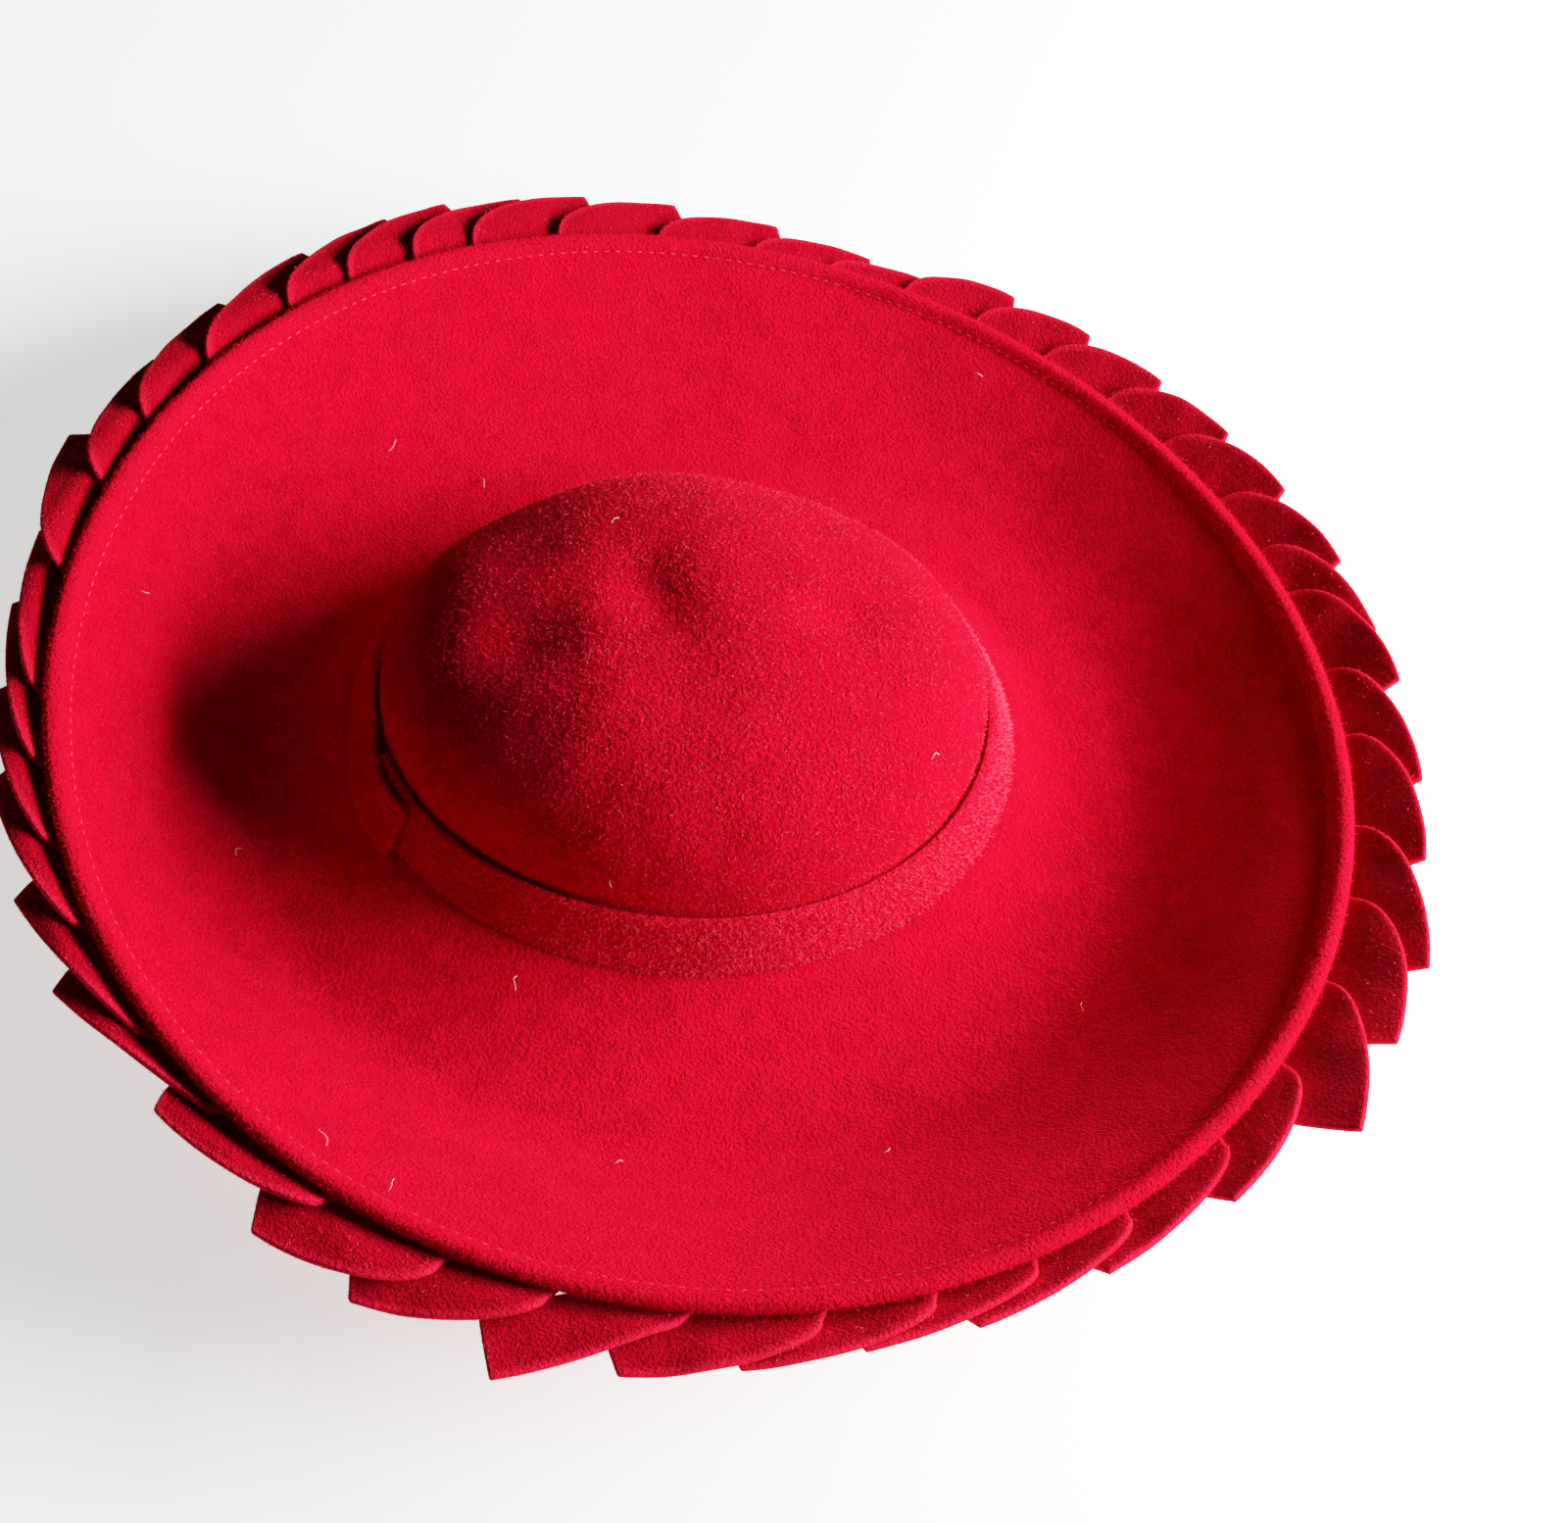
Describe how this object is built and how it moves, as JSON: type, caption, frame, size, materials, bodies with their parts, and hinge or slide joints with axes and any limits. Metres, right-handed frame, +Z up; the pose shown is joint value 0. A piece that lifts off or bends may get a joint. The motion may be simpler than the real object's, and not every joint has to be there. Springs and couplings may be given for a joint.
{
  "type": "wide-brimmed felt hat with leaf trim",
  "caption": "Wide-brimmed red felt hat: round soft crown, narrow band, dished brim turned up all round, and a ring of overlapping felt leaves under the rim.",
  "frame": {"origin": "middle of the whole hat's footprint, on the surface it rests on", "axes": "+Z up; +X toward the picture's right; -Y toward the side nearest the viewer in the picture; the rim is lowest between +X and +Y"},
  "size_m": [0.4543, 0.4795, 0.0815],
  "materials": {
    "body_felt": "brushed nap, matt",
    "band_felt": "brushed nap, matt",
    "leaf_felt": "brushed nap, cut edges"
  },
  "bodies": {
    "root": {"brim": "body_felt", "crown": "body_felt", "band": "band_felt", "leaf_01": "leaf_felt", "leaf_02": "leaf_felt", "leaf_03": "leaf_felt", "leaf_04": "leaf_felt", "leaf_05": "leaf_felt", "leaf_06": "leaf_felt", "leaf_07": "leaf_felt", "leaf_08": "leaf_felt", "leaf_09": "leaf_felt", "leaf_10": "leaf_felt", "leaf_11": "leaf_felt", "leaf_12": "leaf_felt", "leaf_13": "leaf_felt", "leaf_14": "leaf_felt", "leaf_15": "leaf_felt", "leaf_16": "leaf_felt", "leaf_17": "leaf_felt", "leaf_18": "leaf_felt", "leaf_19": "leaf_felt", "leaf_20": "leaf_felt", "leaf_21": "leaf_felt", "leaf_22": "leaf_felt", "leaf_23": "leaf_felt", "leaf_24": "leaf_felt", "leaf_25": "leaf_felt", "leaf_26": "leaf_felt", "leaf_27": "leaf_felt", "leaf_28": "leaf_felt", "leaf_29": "leaf_felt", "leaf_30": "leaf_felt", "leaf_31": "leaf_felt", "leaf_32": "leaf_felt", "leaf_33": "leaf_felt", "leaf_34": "leaf_felt", "leaf_35": "leaf_felt", "leaf_36": "leaf_felt", "leaf_37": "leaf_felt", "leaf_38": "leaf_felt", "leaf_39": "leaf_felt", "leaf_40": "leaf_felt", "leaf_41": "leaf_felt"}
  },
  "joints": []
}
